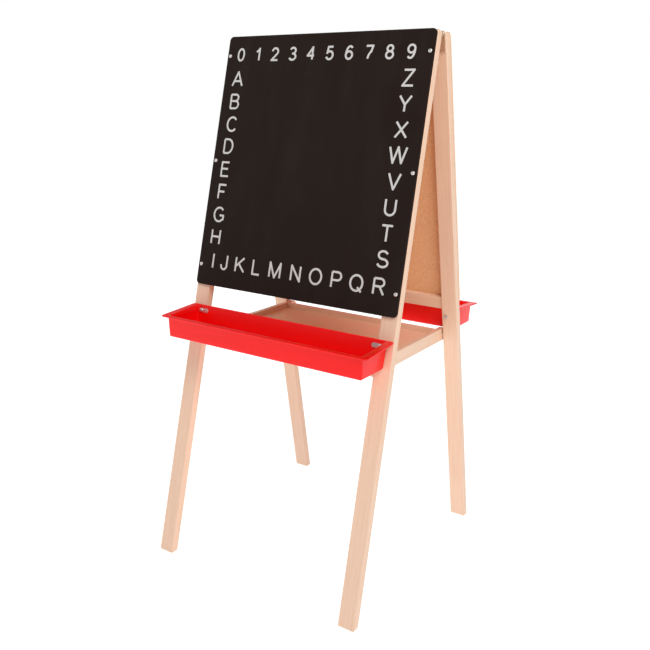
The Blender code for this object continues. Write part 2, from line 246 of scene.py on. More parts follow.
def wood(name, along, seed, pale, warm, dark, ring=9.0):
    """Sealed softwood: rings across the piece, fibres along it, small flecks and paler edges."""
    look = Look(name)
    scale = [1.0, 1.0, 1.0]
    scale[along] = 0.07
    shift = (seed * 1.37 % 5, seed * 2.11 % 5, seed * 3.7 % 5)
    body = look.moved(scale, shift)
    sway = look.noise(body, 5.0, 2.0, 0.5, 0.4)
    side = look.axis((along + 1) % 3, body)
    depth = look.axis((along + 2) % 3, body)
    radius = look.plus(side, look.times(depth, 0.45))
    rings = look.plus(look.times(radius, ring * 11), look.times(sway, ring))
    late = look.ramp(look.maths("FRACT", rings), (0.0, 0.10), (0.55, 0.35), (0.86, 1.0), (0.97, 0.1))
    fine = [300.0, 300.0, 300.0]
    fine[along] = 9.0
    fibres = look.noise(look.moved(fine, shift), 1.0, 4.0, 0.65)
    flecks = [900.0, 900.0, 900.0]
    flecks[along] = 60.0
    pores = look.ramp(look.noise(look.moved(flecks, shift), 1.0, 1.0), (0.66, 0.0), (0.76, 1.0))
    cloud = look.noise(look.moved((3, 3, 3), shift), 1.0, 3.0)
    colour = look.mix(look.times(late, 0.55), pale, warm)
    colour = look.mix(look.ramp(cloud, (0.35, 0.0), (0.7, 0.35)), colour, warm)
    colour = look.mix(look.ramp(fibres, (0.45, 0.0), (0.75, 0.30)), colour, dark)
    colour = look.mix(look.times(pores, 0.35), colour, dark)
    colour = look.mix(look.times(look.edges(), 0.25), colour, pale)
    rough = look.ramp(fibres, (0.3, 0.42), (0.7, 0.58))
    look.bump(look.plus(fibres, look.times(late, 0.4)), 0.18, 0.0003)
    return look.set(Base_Color=colour, Roughness=rough, Coat_Weight=0.18, Coat_Roughness=0.35)


def hardboard_colours(look):
    """The colour of brown pressed fibre, and the short mottled clumps that it is made of."""
    clumps = look.noise(look.moved((260, 260, 260)), 1.0, 4.0, 0.7, 1.2)
    cloud = look.noise(look.moved((6, 6, 6)), 1.0, 3.0)
    tones = ((0.30, (0.66, 0.33, 0.15)), (0.52, (0.84, 0.47, 0.24)), (0.75, (0.92, 0.60, 0.35)))
    patches = look.ramp(cloud, (0.3, 0.0), (0.75, 0.25))
    return look.mix(patches, look.ramp(clumps, *tones), (0.88, 0.52, 0.28)), clumps


def chalkboard():
    """Matt black paint with the haze of wiped chalk; bare brown fibre on the back face."""
    look = Look("chalkboard_paint")
    brown, clumps = hardboard_colours(look)
    grit = look.noise(look.moved((1400, 1400, 1400)), 1.0, 2.0)
    haze = look.noise(look.moved((7, 7, 3.2), turn=(0, 0.5, 0)), 1.0, 5.0, 0.62, 1.6)
    wipes = look.noise(look.moved((30, 30, 5), turn=(0, 0.9, 0)), 1.0, 4.0, 0.6, 0.8)
    wiped = look.ramp(wipes, (0.35, 0.3), (0.7, 1.0))
    dust = look.times(look.ramp(haze, (0.42, 0.0), (0.80, 1.0)), wiped)
    black = look.ramp(grit, (0.3, (0.0080, 0.0035, 0.0030)), (0.7, (0.0120, 0.0062, 0.0052)))
    black = look.mix(look.times(dust, 0.016), black, (0.50, 0.46, 0.44))
    black = look.mix(look.times(look.edges(0.515, 0.56), 0.06), black, (0.30, 0.20, 0.14))
    back = look.back(0.04, 0.09)
    worn = look.plus(look.times(dust, 0.5), look.times(grit, 0.5))
    look.bump(look.plus(grit, look.times(clumps, look.times(back, 2.0))), 0.12, 0.0002)
    return look.set(Base_Color=look.mix(back, black, brown), Specular_IOR_Level=0.08,
                    Roughness=look.ramp(worn, (0.2, 0.60), (0.8, 0.78)))


def whiteboard():
    """Gloss white writing face with faint ghosts of wiped marker; brown fibre on the back and edges."""
    look = Look("whiteboard_face")
    brown, clumps = hardboard_colours(look)
    ghost = look.noise(look.moved((5, 5, 9), turn=(0, 0.6, 0)), 1.0, 5.0, 0.6, 2.2)
    strokes = look.noise(look.moved((16, 16, 60), turn=(0, 0.35, 0)), 1.0, 3.0, 0.6, 1.0)
    wiped = look.ramp(strokes, (0.4, 0.0), (0.7, 1.0))
    haze = look.times(look.ramp(ghost, (0.5, 0.0), (0.75, 1.0)), wiped)
    white = look.mix(look.times(haze, 0.16), (0.86, 0.87, 0.86), (0.55, 0.60, 0.68))
    back = look.back(0.38, 0.43)
    colour = look.mix(back, white, brown)
    rough = look.mix(back, look.ramp(haze, (0.0, 0.14), (1.0, 0.28)), (0.6, 0.6, 0.6))
    peel = look.noise(look.moved((90, 90, 90)), 1.0, 2.0)
    height = look.plus(look.times(peel, 0.4), look.times(clumps, back))
    look.bump(height, 0.10, 0.0002)
    return look.set(Base_Color=colour, Roughness=rough)


def fibreboard():
    """The shelf panel: paler pressed fibre, scuffed along its length."""
    look = Look("shelf_hardboard")
    colour, clumps = hardboard_colours(look)
    colour = look.mix(0.75, colour, (0.93, 0.60, 0.45))
    scuffs = look.noise(look.moved((40, 9, 40), turn=(0, 0, 0.4)), 1.0, 5.0, 0.65, 1.0)
    colour = look.mix(look.ramp(scuffs, (0.55, 0.0), (0.8, 0.22)), colour, (0.85, 0.66, 0.52))
    look.bump(clumps, 0.08, 0.0002)
    return look.set(Base_Color=colour, Roughness=look.ramp(scuffs, (0.35, 0.34), (0.75, 0.52)))


def red_plastic():
    """Injection-moulded red: fine spark texture, faint flow marks, paler outer edges and painted shade in
    its creases.
    """
    look = Look("red_moulding")
    spark = look.noise(look.moved((1500, 1500, 1500)), 1.0, 2.0, 0.6)
    flow = look.noise(look.moved((6, 30, 30)), 1.0, 3.0, 0.55, 0.8)
    scuff = look.noise(look.moved((55, 260, 260), turn=(0.2, 0.1, 0.5)), 1.0, 4.0, 0.7, 0.6)
    scuff = look.ramp(scuff, (0.60, 0.0), (0.74, 1.0))
    colour = look.ramp(flow, (0.3, (0.93, 0.0010, 0.0010)), (0.7, (0.99, 0.0016, 0.0016)))
    colour = look.mix(look.times(scuff, 0.03), colour, (1.0, 0.25, 0.22))
    # Outer edges a little paler.
    colour = look.mix(look.times(look.edges(0.51, 0.58), 0.08), colour, (1.0, 0.12, 0.10))
    # Painted shade: creases and inside corners, where the lip meets the walls and along the inner fillets,
    # are darkened to a deep red.
    colour = look.mix(look.relief((0.40, 0.85), (0.485, 0.0)), colour, (0.38, 0.0005, 0.0008))
    rough = look.plus(look.ramp(spark, (0.3, 0.27), (0.7, 0.36)), look.times(scuff, 0.10))
    look.bump(look.plus(spark, look.times(flow, 0.3)), 0.10, 0.00015)
    return look.set(Base_Color=colour, Roughness=rough, Specular_IOR_Level=0.3)


def metal(name, colour, dull, rough):
    """Plated metal: plating mottled between bright and duller tones, and fine scratches."""
    look = Look(name)
    spangle = look.noise(look.moved((700, 700, 700)), 1.0, 3.0, 0.6)
    scratch = look.noise(look.moved((2600, 180, 2600), turn=(0.3, 0.7, 0.2)), 1.0, 2.0)
    tone = look.mix(look.ramp(spangle, (0.35, 0.0), (0.7, 0.6)), colour, dull)
    worn = look.plus(look.times(spangle, 0.6), look.times(scratch, 0.4))
    look.bump(scratch, 0.08, 0.0001)
    return look.set(Base_Color=tone, Metallic=1.0,
                    Roughness=look.ramp(worn, (0.3, rough - 0.08), (0.7, rough + 0.10)))


def ink():
    """Screen-printed letters: slightly chalky off-white with thin spots."""
    look = Look("letter_ink")
    thin = look.noise(look.moved((420, 420, 420)), 1.0, 3.0, 0.7)
    patch = look.noise(look.moved((30, 30, 30)), 1.0, 2.0)
    tone = look.ramp(thin, (0.30, (0.42, 0.40, 0.39)), (0.50, (0.62, 0.60, 0.59)))
    tone = look.mix(look.ramp(patch, (0.4, 0.0), (0.7, 0.35)), tone, (0.50, 0.48, 0.47))
    look.bump(thin, 0.1, 0.0001)
    return look.set(Base_Color=tone, Roughness=look.ramp(thin, (0.3, 0.55), (0.7, 0.7)))


PINE = ((0.87, 0.61, 0.45), (0.82, 0.53, 0.36), (0.66, 0.37, 0.22))
BEECH = ((0.76, 0.52, 0.35), (0.68, 0.43, 0.27), (0.45, 0.26, 0.15))
wood_seed = iter(range(3, 60, 4))


def pine(name, along):
    return wood(name, along, next(wood_seed), *PINE)


LOOKS = {
    "chalkboard": chalkboard(),
    "whiteboard": whiteboard(),
    "hardboard": fibreboard(),
    "red_plastic": red_plastic(),
    "zinc": metal("zinc_plate", (0.80, 0.77, 0.75), (0.62, 0.60, 0.59), 0.42),
    "hinge": metal("yellow_zinc_plate", (0.84, 0.69, 0.54), (0.70, 0.54, 0.40), 0.45),
    "brass": metal("brass_plain", (0.72, 0.50, 0.20), (0.50, 0.34, 0.14), 0.32),
    "beech": wood("beech_bare", 0, 2, *BEECH, ring=14.0),
    "ink": ink(),
}


# ---------------------------------------------------------------- mesh helpers


def loft(name, rings, smooth=True):
    """A closed mesh through rings of equal count, capped at both ends."""
    mesh = bpy.data.meshes.new(name)
    shape = bmesh.new()
    rows = [[shape.verts.new(point) for point in ring] for ring in rings]
    for low, high in zip(rows, rows[1:]):
        for i in range(len(low)):
            j = (i + 1) % len(low)
            shape.faces.new((low[i], low[j], high[j], high[i])).smooth = smooth
    for cap in (rows[0], rows[-1]):
        shape.faces.new(cap).smooth = False
    bmesh.ops.recalc_face_normals(shape, faces=shape.faces)
    shape.to_mesh(mesh)
    shape.free()
    return mesh


def turned(name, profile, segments=32):
    """A round piece about +Z from (radius, height) pairs."""
    angles = [2 * pi * i / segments for i in range(segments)]
    return loft(name, [[(r * cos(a), r * sin(a), z) for a in angles] for r, z in profile])


def block(name, low, high):
    """A box between two opposite corners."""
    square = ((low[0], low[1]), (high[0], low[1]), (high[0], high[1]), (low[0], high[1]))
    return loft(name, [[(x, y, z) for x, y in square] for z in (low[2], high[2])], smooth=False)


def rounded(x_low, x_high, y_low, y_high, radius, steps=10):
    """A rectangle's outline with rounded corners."""
    corners = ((x_high, y_high, 0), (x_low, y_high, 90), (x_low, y_low, 180), (x_high, y_low, 270))
    outline = []
    for x, y, start in corners:
        centre_x = x - radius if x == x_high else x + radius
        centre_y = y - radius if y == y_high else y + radius
        for i in range(steps + 1):
            angle = radians(start + 90 * i / steps)
            outline.append((centre_x + radius * cos(angle), centre_y + radius * sin(angle)))
    return outline


def piece(name, mesh, look, body, place, slot, *nodes):
    """A finished visible piece in the row frame, riding on its body and standing for CAD nodes."""
    obj = bpy.data.objects.new(name, mesh)
    bpy.context.scene.collection.objects.link(obj)
    obj.matrix_world = place
    obj.data.materials.clear()
    obj.data.materials.append(look)
    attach(obj, body)
    if nodes:
        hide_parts(*nodes)
    return obj


def bevel(obj, width, segments=4, angle=30):
    """Rounds the edges that turn by more than the angle, in degrees."""
    made = obj.modifiers.new("eased_edges", "BEVEL")
    made.width = width
    made.segments = segments
    made.limit_method = "ANGLE"
    made.angle_limit = radians(angle)
    made.harden_normals = True
    for face in obj.data.polygons:
        face.use_smooth = True


def cut(obj, mesh, place, operation="DIFFERENCE"):
    """Takes a shape out of a piece, or adds it, and makes the result the piece's mesh."""
    cutter = bpy.data.objects.new("cutter", mesh)
    bpy.context.scene.collection.objects.link(cutter)
    cutter.matrix_world = place
    made = obj.modifiers.new("recess", "BOOLEAN")
    made.operation = operation
    made.solver = "EXACT"
    made.object = cutter
    bpy.context.view_layer.update()
    graph = bpy.context.evaluated_depsgraph_get()
    solid = bpy.data.meshes.new_from_object(obj.evaluated_get(graph))
    obj.modifiers.clear()
    obj.data = solid
    bpy.data.objects.remove(cutter)


def side_x(name, x):
    """The front frame is the rear one turned half round, so its own X runs the other way."""
    return -x if name == "front" else x


# ---------------------------------------------------------------- wood and boards


def leg(which, side):
    """A square bar along the leaning frame, with its foot cut level with the floor."""
    x = side_x(which, SIDES[side] * (LEG_INNER_X + LEG_WIDTH / 2))
    half = LEG_WIDTH / 2
    faces = (FACE_OFFSET, OUTER_FACE)
    square = ((-half, faces[0]), (half, faces[0]), (half, faces[1]), (-half, faces[1]))
    foot = {n: -(PIVOT_Z + n * sin(LEAN)) / cos(LEAN) for n in faces}
    rings = [[(a, n, 0) for a, n in square], [(a, n, foot[n]) for a, n in square]]
    place = PLACES[which] @ Matrix.Translation((x, 0, 0))
    name = f"{which}_leg_{side}"
    look = pine(f"pine_{name}", 2)
    made = piece(f"{name}_wood", loft(name, rings), look, f"{which}_frame", place, "pine", name)
    bevel(made, LEG_EASE)


def board(which, look):
    half = BOARD_WIDTH / 2
    outline = rounded(-half, half, -BOARD_HEIGHTS[which], 0, BOARD_CORNER)
    rings = [[(x, n, z) for x, z in outline] for n in (0, BOARD_THICK)]
    place = PLACES[which] @ Matrix.Translation((0, OUTER_FACE + GAP, 0))
    name = f"{which}_{look}"
    made = piece(f"{name}_panel", loft(name, rings), LOOKS[look], f"{which}_frame", place, look, name)
    bevel(made, BOARD_EASE, 3, 40)


def cross_bar():
    half = LEG_INNER_X - GAP
    place = PLACES["rear"] @ Matrix.Translation((0, OUTER_FACE - BAR_THICK, -BAR_DROP))
    mesh = block("bar", (-half, 0, -BAR_HEIGHT), (half, BAR_THICK, 0))
    look = pine("pine_crossbar", 0)
    made = piece("rear_crossbar_wood", mesh, look, "rear_frame", place, "pine", "rear_crossbar")
    bevel(made, BAR_EASE)


# ---------------------------------------------------------------- trays


def tray(which):
    """A thin moulding: level filleted floor, rolled lip on three sides, back wall on the leaning legs."""
    slant = tan(LEAN)
    fall = tan(RIM_FALL)
    skin = TRAY_WALL / cos(LEAN)
    half = TRAY_LENGTH / 2
    under = TRAY_LIP_THICK
    back = TRAY_BACK_EASE
    rings = []

    def ring(ends, back, fore, corner, drop, share=0.0):
        """An outline this far down; its share is how far it is from the falling rim to the level floor."""
        outline = rounded(-half + ends, half - ends, drop * slant + back, TRAY_DEPTH - fore, corner, 8)
        rings.append([(x, y, -drop - y * fall * (1 - share)) for x, y in outline])

    def side(inset, back, corner, drop, share=0.0):
        """An outline of the walls, drawn in from their outside by the inset."""
        ends = TRAY_END_LIP + TRAY_END_DRAFT * share + inset
        fore = TRAY_FRONT_LIP + TRAY_FRONT_DRAFT * share + inset
        ring(ends, back, fore, corner, drop, share)

    def fillet(angle, inset, back, corner, sharpest, deep):
        """An outline on the quarter round between a wall and the floor."""
        grow = TRAY_FILLET * (1 - sin(angle))
        corner = max(corner - grow, sharpest)
        side(inset + grow, back + grow, corner, deep - TRAY_FILLET * (1 - cos(angle)), 1.0)

    quarter = [radians(15 * i) for i in range(7)]
    for angle in quarter:
        fillet(angle, 0, back, TRAY_CORNER, SHARPEST_CORNER + 0.0002, TRAY_HEIGHT)
    wall_top = under + TRAY_NECK
    wall_reach = TRAY_HEIGHT - TRAY_FILLET - wall_top
    for share in (0.75, 0.5, 0.25, 0):
        side(0, back, TRAY_CORNER, wall_top + wall_reach * share, share)
    side(-0.0004, back, TRAY_CORNER, under + 0.0005)
    side(-0.0014, back - 0.0001, TRAY_CORNER + 0.0006, under)
    ring(LIP_ROLL, 0.0004, LIP_ROLL, LIP_CORNER - 0.0012, under)
    for i in range(9):
        angle = radians(-80 + 20 * i)
        out = LIP_ROLL * (1 - cos(angle))
        drop = under / 2 - (under / 2 - 0.0001) * sin(angle)
        ring(out, out / 2 + 0.0002, out, LIP_CORNER - out / 2, drop)
    ring(0.0022, 0.0012, 0.0022, LIP_CORNER - 0.0014, 0)
    side(TRAY_WALL - 0.0022, skin - 0.0012, INNER_CORNER + 0.0012, 0)
    side(TRAY_WALL - 0.0007, skin - 0.0004, INNER_CORNER + 0.0006, 0.0005)
    inner_depth = TRAY_HEIGHT - TRAY_WALL
    inner_reach = inner_depth - TRAY_FILLET - INNER_RIM
    for share in (0, 0.25, 0.5, 0.75):
        side(TRAY_WALL, skin, INNER_CORNER, INNER_RIM + inner_reach * share, share)
    for angle in reversed(quarter):
        fillet(angle, TRAY_WALL, skin, INNER_CORNER, SHARPEST_CORNER, inner_depth)

    place = PLACES[which] @ Matrix.Translation((0, OUTER_FACE + GAP, -TRAY_DROPS[which]))
    place = place @ Matrix.Rotation(-LEAN, 4, "X")
    name, look, body = f"{which}_tray", LOOKS["red_plastic"], f"{which}_frame"
    piece(f"{name}_moulding", loft(name, rings), look, body, place, "red_plastic", name)


# ---------------------------------------------------------------- fasteners


def cross_recess(size, deep):
    """The four-armed driver recess of a screw, as a cutter that narrows downward."""
    rings = []
    for z, share in ((-deep, 0.55), (deep, 1.15)):
        a = size * share
        b = 0.30 * a
        outline = [(a, -b), (a, b), (b, b), (b, a), (-b, a), (-b, b)]
        outline += [(-x, -y) for x, y in outline]
        rings.append([(x, y, z) for x, y in outline])
    return loft("recess", rings, smooth=False)


def screw_mesh(name, profile, head, size):
    """A turned screw with a cross recess of this size cut in its head, whose crown is at this height."""
    obj = bpy.data.objects.new(name, turned(name, profile))
    bpy.context.scene.collection.objects.link(obj)
    cut(obj, cross_recess(size, RECESS_DEPTH), Matrix.Translation((0, 0, head + 0.0002)))
    mesh = obj.data
    bpy.data.objects.remove(obj)
    return mesh


def dome(radius, rim, height, steps=6):
    """Points of a low domed head, from its underside edge to its crown."""
    points = [(radius, 0), (radius, rim)]
    for i in range(1, steps + 1):
        a = radians(90 * i / steps)
        points.append((max(radius * cos(a), 0.0003), rim + (height - rim) * sin(a)))
    return points


def wood_screw(name, tip, shank, length, taper, head):
    """A pointed screw; its head is given by radius, rim and height."""
    profile = [(tip, -length), (shank, taper - length), (shank, 0), *dome(*head)]
    return screw_mesh(name, profile, head[-1], SCREW_RECESS)


def board_screws(which, mesh):
    """Three screws down each side; the taller rear board has them spread in proportion."""
    head = OUTER_FACE + BOARD_THICK + 2 * GAP
    stretch = BOARD_HEIGHTS[which] / BOARD_HEIGHTS["front"]
    for side, sign in SIDES.items():
        for level, drop in BOARD_SCREW_DROPS.items():
            turn = Matrix.Rotation(radians(37 * len(level) + 50 * sign), 4, "Z")
            spot = Matrix.Translation((side_x(which, sign * BOARD_SCREW_X), head, -drop * stretch))
            name = f"{which}_board_screw_{side}_{level}"
            place = PLACES[which] @ spot @ OUTWARD @ turn
            piece(f"{name}_steel", mesh.copy(), LOOKS["zinc"], f"{which}_frame", place, "zinc", name)


def thread(low, high, radius):
    """Profile points of a threaded shank's crests and roots."""
    points = []
    z = low
    while z < high:
        points += [(radius - THREAD_DEPTH, z), (radius, z + THREAD_PITCH / 2)]
        z += THREAD_PITCH
    return points


def tray_bolt_mesh(which, reach):
    """A threaded bolt with a low domed head that stands on the washer."""
    shank, rim = BOLT_RADIUS, WASHER_THICK
    profile = [(BOLT_TIP_RADIUS, -reach)]
    profile += thread(-reach + THREAD_DEPTH, -reach + BOLT_THREAD, shank)
    profile += [(shank, -reach + BOLT_THREAD + 0.001), (shank, rim * 0.6)]
    profile += [(BOLT_HEAD_RADIUS - 0.0002, rim * 0.6), (BOLT_HEAD_RADIUS, rim + 0.0002)]
    for degrees in range(0, 81, 16):
        angle = radians(degrees)
        profile.append((BOLT_HEAD_RADIUS * cos(angle), rim + 0.0007 + 0.0020 * sin(angle)))
    return screw_mesh(f"{which}_tray_bolt", profile, rim + BOLT_HEAD_HEIGHT, BOLT_RECESS)


def washer_mesh(middle):
    """An oblong washer with round ends and eased rims."""
    wide, high = WASHER_HALF
    edge = WASHER_EASE
    rings = []
    for inset, z in ((edge, 0), (0, edge), (0, WASHER_THICK - edge), (edge, WASHER_THICK)):
        x_span = (middle - wide + inset, middle + wide - inset)
        outline = rounded(*x_span, -high + inset, high - inset, high - inset - 0.0003, 12)
        rings.append([(a, b, z) for a, b in outline])
    return loft("washer", rings)


def tray_bolts(which):
    """Bolts on oblong washers, as one piece each, with hex nuts behind the legs."""
    head = OUTER_FACE + TRAY_WALL + 2 * GAP
    bolt = tray_bolt_mesh(which, head - FACE_OFFSET + GAP + NUT_THICK + 0.001)
    bore = BOLT_RADIUS + GAP
    zinc, body = LOOKS["zinc"], f"{which}_frame"
    for side, sign in SIDES.items():
        x = side_x(which, sign * BOLT_X)
        name = f"{which}_tray_bolt_{side}"
        place = PLACES[which] @ Matrix.Translation((x, head, -BOLT_DROP)) @ OUTWARD
        washer = washer_mesh(side_x(which, sign * (WASHER_X - BOLT_X)))
        made = piece(f"{name}_steel", washer, zinc, body, place, "zinc", name)
        cut(made, bolt.copy(), place, "UNION")
        name = f"{which}_tray_nut_{side}"
        place = PLACES[which] @ Matrix.Translation((x, FACE_OFFSET - GAP, -BOLT_DROP)) @ INWARD
        blank = turned(name, [(NUT_RADIUS, 0), (NUT_RADIUS, NUT_THICK)], 6)
        nut = piece(f"{name}_steel", blank, zinc, body, place, "zinc", name)
        cut(nut, turned("hole", [(bore, -OVERSHOOT), (bore, NUT_THICK + OVERSHOOT)]), place)
        bevel(nut, STEEL_EASE, 2, 25)


# ---------------------------------------------------------------- hinges


def hinge_leaf(which, side):
    """A leaf whose plate is wrapped round the pin at its knuckles."""
    face = FACE_OFFSET - GAP
    back = face - LEAF_THICK
    radius = KNUCKLE_RADIUS
    arc = [(radius * cos(radians(a)), radius * sin(radians(a))) for a in range(0, 271, 10)]
    outline = arc + [(back, -radius), (back, -LEAF_DROP), (face, -LEAF_DROP), (face, 0)]
    half = HINGE_LENGTH / 2
    rings = [[(x, n, z) for n, z in outline] for x in (-half, half)]
    place = PLACES[which] @ Matrix.Translation((side_x(which, SIDES[side] * HINGE_X), 0, 0))
    name = f"hinge_{side}_{which}_leaf"
    made = piece(f"{name}_steel", loft(name, rings), LOOKS["hinge"], f"{which}_frame", place, "zinc", name)
    sixth = HINGE_LENGTH / 6
    spans = ((-sixth, sixth),) if which == "front" else ((-half, -sixth), (sixth, half))
    room = radius + OVERSHOOT
    for low, high in spans:
        low = low - (GAP / 2 if abs(low) < half else OVERSHOOT)
        high = high + (GAP / 2 if abs(high) < half else OVERSHOOT)
        cut(made, block("room", (low, -room, -room), (high, back - 0.0001, room)), place)
    bore = turned("bore", [(PIN_RADIUS + GAP, z) for z in (-half - OVERSHOOT, half + OVERSHOOT)])
    cut(made, bore, place @ Matrix.Rotation(pi / 2, 4, "Y"))
    bevel(made, STEEL_EASE, 2, 35)


def hinge(side, screw):
    """One hinge: its headed pin, its two leaves and their screws."""
    half = HINGE_LENGTH / 2 + 0.0004
    head = PIN_HEAD_RADIUS
    profile = [(head - 0.0008, -half - 0.0012), (head - 0.0002, -half - 0.0008), (head, -half - 0.0004)]
    profile += [(head, -half), (PIN_RADIUS, -half), (PIN_RADIUS, half), (PIN_RADIUS - 0.0004, half + 0.0005)]
    place = PLACES["front"] @ Matrix.Translation((side_x("front", SIDES[side] * HINGE_X), 0, 0))
    place = place @ Matrix.Rotation(pi / 2, 4, "Y")
    name = f"hinge_{side}_pin"
    piece(f"{name}_steel", turned(name, profile), LOOKS["hinge"], "front_frame", place, "zinc", name)
    for which in PLACES:
        hinge_leaf(which, side)
        head = FACE_OFFSET - 2 * GAP - LEAF_THICK
        for level, drop in HINGE_SCREW_DROPS.items():
            spot = Matrix.Translation((side_x(which, SIDES[side] * HINGE_X), head, -drop))
            name = f"hinge_{side}_{which}_screw_{level}"
            place = PLACES[which] @ spot @ INWARD
            piece(f"{name}_steel", screw.copy(), LOOKS["hinge"], f"{which}_frame", place, "zinc", name)


# ---------------------------------------------------------------- shelf


def shelf():
    """Side rails round at the pivots, a lip across each end and a panel let into their grooves."""
    inner = RAIL_OUTER_X - RAIL_THICK
    up, corner = RAIL_UP, RAIL_CORNER
    centre = -SHELF_SPAN
    outline = [(up * cos(radians(a)), up * sin(radians(a))) for a in range(90, -91, -6)]
    for start, z in ((270, -up + corner), (180, up - corner)):
        for i in range(11):
            angle = radians(start - 9 * i)
            outline.append((centre + corner * cos(angle), z + corner * sin(angle)))
    for side, sign in SIDES.items():
        rings = [[(x, y, z) for y, z in outline] for x in (sign * inner, sign * RAIL_OUTER_X)]
        name = f"shelf_rail_{side}"
        look = pine(f"pine_{name}", 1)
        made = piece(f"{name}_wood", loft(name, rings), look, "shelf", SHELF_PLACE, "pine", name)
        bevel(made, SHELF_EASE, 4, 40)
    half = inner - GAP
    rear_lip = -LIP_INSET - LIP_THICK
    front_lip = -SHELF_SPAN - FRONT_LIP_REACH
    for where, y in (("rear", rear_lip), ("front", front_lip)):
        name = f"shelf_lip_{where}"
        mesh = block(name, (-half, y, -up), (half, y + LIP_THICK, up))
        made = piece(f"{name}_wood", mesh, pine(f"pine_{name}", 0), "shelf", SHELF_PLACE, "pine", name)
        bevel(made, SHELF_EASE, 4, 40)
    rear = rear_lip + GROOVE_DEPTH - PANEL_CLEARANCE - GAP
    near = front_lip + LIP_THICK - GROOVE_DEPTH + GAP
    half = inner + GROOVE_DEPTH - GAP
    mesh = block("panel", (-half, near, PANEL_RISE), (half, rear, PANEL_RISE + PANEL_THICK))
    look = LOOKS["hardboard"]
    piece("shelf_panel_board", mesh, look, "shelf", SHELF_PLACE, "hardboard", "shelf_panel")


# ---------------------------------------------------------------- letters


def arc(x, y, rx, ry, start, end, steps=18):
    """Points along an oval's outline, between two angles in degrees."""
    angles = [radians(start + (end - start) * i / steps) for i in range(steps + 1)]
    return [(x + rx * cos(angle), y + ry * sin(angle)) for angle in angles]


def bowl(x, y, rx, ry):
    """The right-hand half of a rounded letter, from its top to its foot, joined to the stem."""
    return [(0, y + ry), *arc(x, y, rx, ry, 90, -90), (0, y - ry)]


# Each character is a list of strokes, drawn between a baseline at 0 and a cap line at 1.
STEM = [(0, 0), (0, 1)]
ROUND = arc(0.45, 0.5, 0.45, 0.5, 0, 360, 36)
SIX = [arc(0.29, 0.30, 0.29, 0.30, 180, 540), arc(0.335, 0.35, 0.335, 0.65, 180, 52)]
GLYPHS = {
    "A": [[(0, 0), (0.44, 1), (0.88, 0)], [(0.16, 0.34), (0.72, 0.34)]],
    "B": [STEM, bowl(0.40, 0.765, 0.25, 0.235), bowl(0.42, 0.265, 0.28, 0.265)],
    "C": [arc(0.43, 0.5, 0.43, 0.5, 40, 320)],
    "D": [STEM, bowl(0.32, 0.5, 0.43, 0.5)],
    "E": [[(0.64, 1), (0, 1), (0, 0), (0.66, 0)], [(0, 0.53), (0.58, 0.53)]],
    "F": [[(0.62, 1), (0, 1), (0, 0)], [(0, 0.51), (0.52, 0.51)]],
    "G": [[*arc(0.44, 0.5, 0.44, 0.5, 42, 312), (0.84, 0.18), (0.84, 0.44), (0.50, 0.44)]],
    "H": [STEM, [(0.73, 0), (0.73, 1)], [(0, 0.52), (0.73, 0.52)]],
    "I": [STEM],
    "J": [[(0.50, 1), *arc(0.25, 0.27, 0.25, 0.27, 0, -180), (0, 0.33)]],
    "K": [STEM, [(0.70, 1), (0, 0.34)], [(0.25, 0.575), (0.76, 0)]],
    "L": [[(0, 1), (0, 0), (0.60, 0)]],
    "M": [[(0, 0), (0, 1), (0.44, 0), (0.88, 1), (0.88, 0)]],
    "N": [[(0, 0), (0, 1), (0.72, 0), (0.72, 1)]],
    "O": [ROUND],
    "P": [STEM, bowl(0.42, 0.735, 0.27, 0.265)],
    "Q": [ROUND, [(0.55, 0.24), (0.86, -0.05)]],
    "R": [STEM, bowl(0.44, 0.75, 0.28, 0.25), [(0.42, 0.50), (0.74, 0)]],
    "S": [[*arc(0.34, 0.75, 0.32, 0.25, 20, 270), *arc(0.35, 0.25, 0.36, 0.25, 90, -165)]],
    "T": [[(0, 1), (0.76, 1)], [(0.38, 1), (0.38, 0)]],
    "U": [[(0, 1), *arc(0.36, 0.36, 0.36, 0.36, 180, 360), (0.72, 1)]],
    "V": [[(0, 1), (0.42, 0), (0.84, 1)]],
    "W": [[(0, 1), (0.30, 0), (0.60, 1), (0.90, 0), (1.20, 1)]],
    "X": [[(0, 1), (0.80, 0)], [(0.80, 1), (0, 0)]],
    "Y": [[(0, 1), (0.41, 0.43), (0.82, 1)], [(0.41, 0.43), (0.41, 0)]],
    "Z": [[(0.02, 1), (0.72, 1), (0, 0), (0.74, 0)]],
    "0": [arc(0.31, 0.5, 0.31, 0.5, 0, 360, 36)],
    "1": [[(0, 0.72), (0.16, 0.82), (0.30, 1), (0.30, 0)]],
    "2": [[*arc(0.30, 0.71, 0.29, 0.29, 172, -42), (0, 0), (0.62, 0)]],
    "3": [[*arc(0.30, 0.76, 0.26, 0.24, 158, -90), (0.22, 0.52)],
          [(0.22, 0.52), *arc(0.30, 0.26, 0.31, 0.26, 90, -160)]],
    "4": [[(0.46, 0), (0.46, 1), (0, 0.32), (0.62, 0.32)]],
    "5": [[(0.56, 1), (0.13, 1), (0.06, 0.50), *arc(0.29, 0.32, 0.31, 0.32, 128, -158)]],
    "6": SIX,
    "7": [[(0, 1), (0.60, 1), *arc(0.92, 0.0, 0.70, 0.72, 130, 180, 8)]],
    "8": [arc(0.30, 0.765, 0.24, 0.235, 0, 360, 30), arc(0.30, 0.27, 0.30, 0.27, 0, 360, 30)],
    "9": [[(0.62 - x, 1 - y) for x, y in stroke] for stroke in SIX],
}

